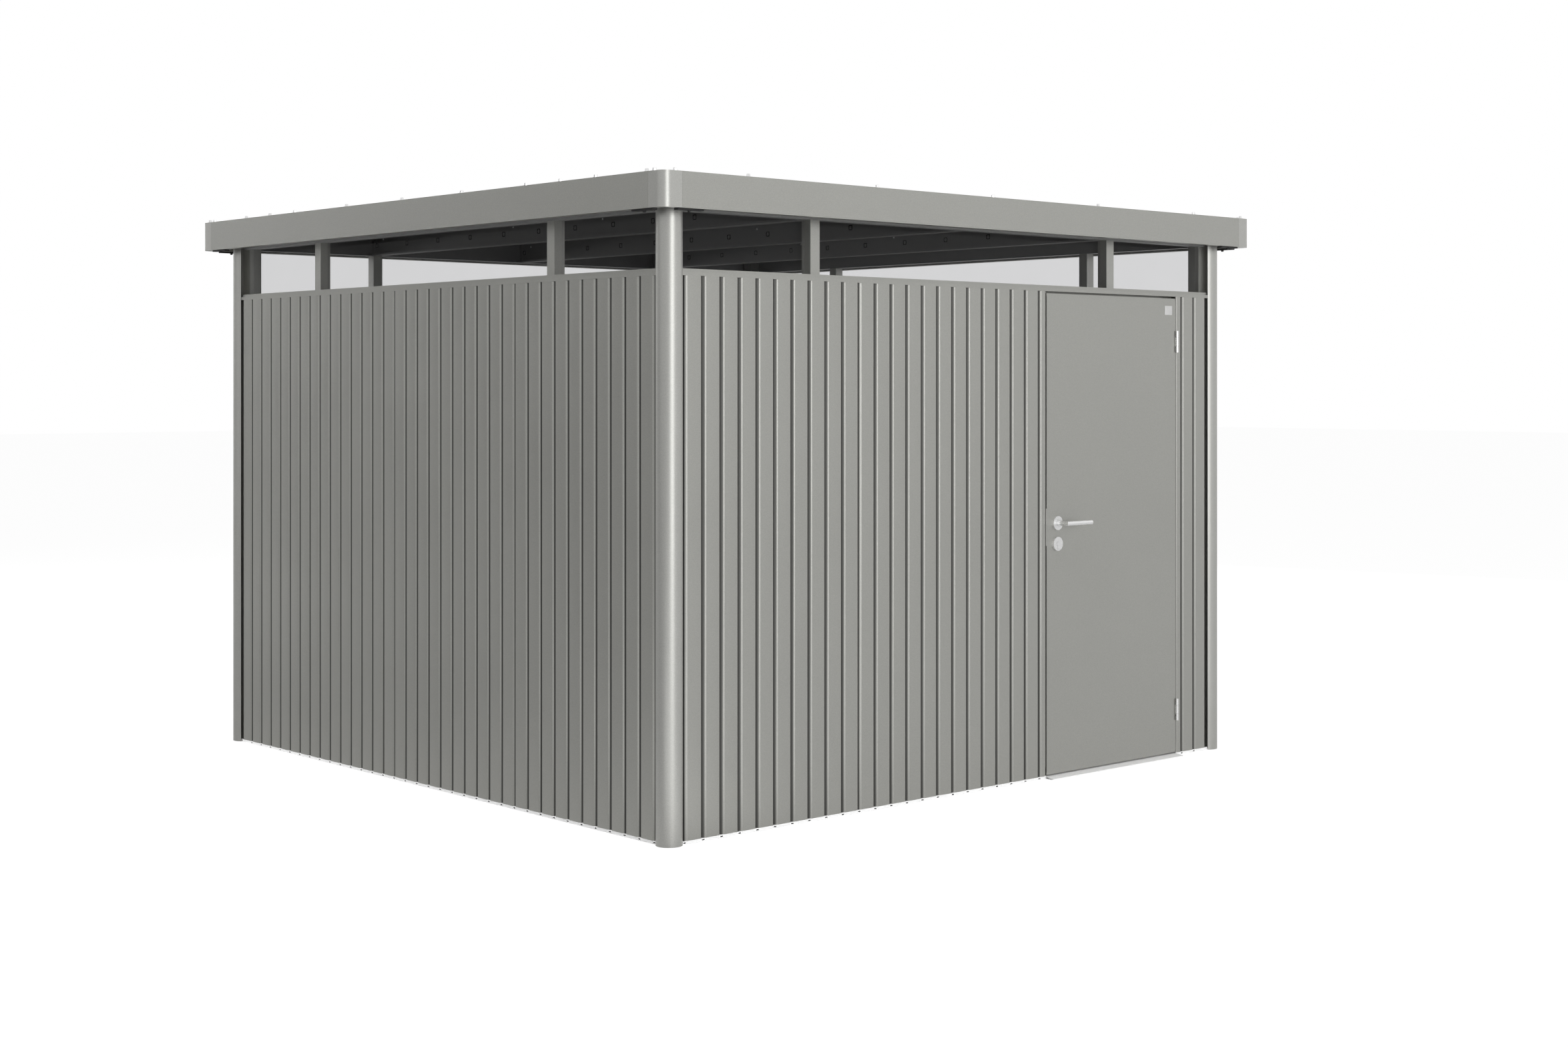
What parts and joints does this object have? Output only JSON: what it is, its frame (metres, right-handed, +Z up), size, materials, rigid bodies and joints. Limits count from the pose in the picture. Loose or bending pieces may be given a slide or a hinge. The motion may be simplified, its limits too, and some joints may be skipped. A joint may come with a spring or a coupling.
{
  "type": "flat-roofed metal garden storage shed",
  "caption": "Square flat-roofed storage shed of ribbed steel panels with round corner posts, a window strip under a deep fascia, and one outward door with a lever handle.",
  "frame": {"origin": "on the ground, in the middle of the square plan", "axes": "+Z up, the door wall faces -Y, +X to the right of someone facing the door"},
  "size_m": [3.142, 3.142, 2.218],
  "materials": {
    "grey_paint": "satin metallic grey paint",
    "frame_paint": "satin metallic grey paint on roof frame",
    "aluminium": "bare extruded aluminium",
    "steel": "satin stainless steel",
    "pane": "clear acrylic sheet"
  },
  "bodies": {
    "root": {"back_fascia": "grey_paint", "back_left_corner_post": "grey_paint", "back_right_corner_post": "grey_paint", "back_wall_left_panel": "grey_paint", "back_wall_middle_panel": "grey_paint", "back_wall_right_panel": "grey_paint", "back_window_posts": "grey_paint", "base_rails": "aluminium", "cap_rails": "grey_paint", "door_head": "grey_paint", "door_hinge_pins": "steel", "door_jamb_left": "grey_paint", "door_jamb_right": "grey_paint", "door_threshold": "aluminium", "fascia_corners": "grey_paint", "front_fascia": "grey_paint", "front_left_corner_post": "grey_paint", "front_right_corner_post": "grey_paint", "front_wall_left_panel": "grey_paint", "front_wall_middle_panel": "grey_paint", "front_wall_right_panel": "grey_paint", "front_window_posts": "grey_paint", "left_fascia": "grey_paint", "left_wall_back_panel": "grey_paint", "left_wall_front_panel": "grey_paint", "left_wall_middle_panel": "grey_paint", "left_window_posts": "grey_paint", "right_fascia": "grey_paint", "right_wall_back_panel": "grey_paint", "right_wall_front_panel": "grey_paint", "right_wall_middle_panel": "grey_paint", "right_window_posts": "grey_paint", "roof_beams": "frame_paint", "roof_edge_screws": "steel", "roof_headers": "frame_paint", "roof_sheets": "frame_paint", "window_panes": "pane"},
    "door": {"door_leaf": "grey_paint", "door_inner_panel": "grey_paint", "lock_guard": "grey_paint", "door_hinge_knuckles": "steel", "door_roses": "steel", "lock_cylinder": "steel"},
    "lever": {"lever_handles": "steel", "handle_spindle": "steel"}
  },
  "joints": [
    {"name": "door_hinge", "type": "hinge", "parent": "root", "child": "door", "pos_m": [1.2005, -1.478, 0.9], "axis": [0, 0, 1], "range_deg": [0, 120]},
    {"name": "lever_turn", "type": "hinge", "parent": "door", "child": "lever", "pos_m": [0.46, -1.471, 0.982], "axis": [0, 1, 0], "range_deg": [0, 45], "stiffness_Nm_per_rad": 1.5, "springref_deg": -22.92}
  ]
}
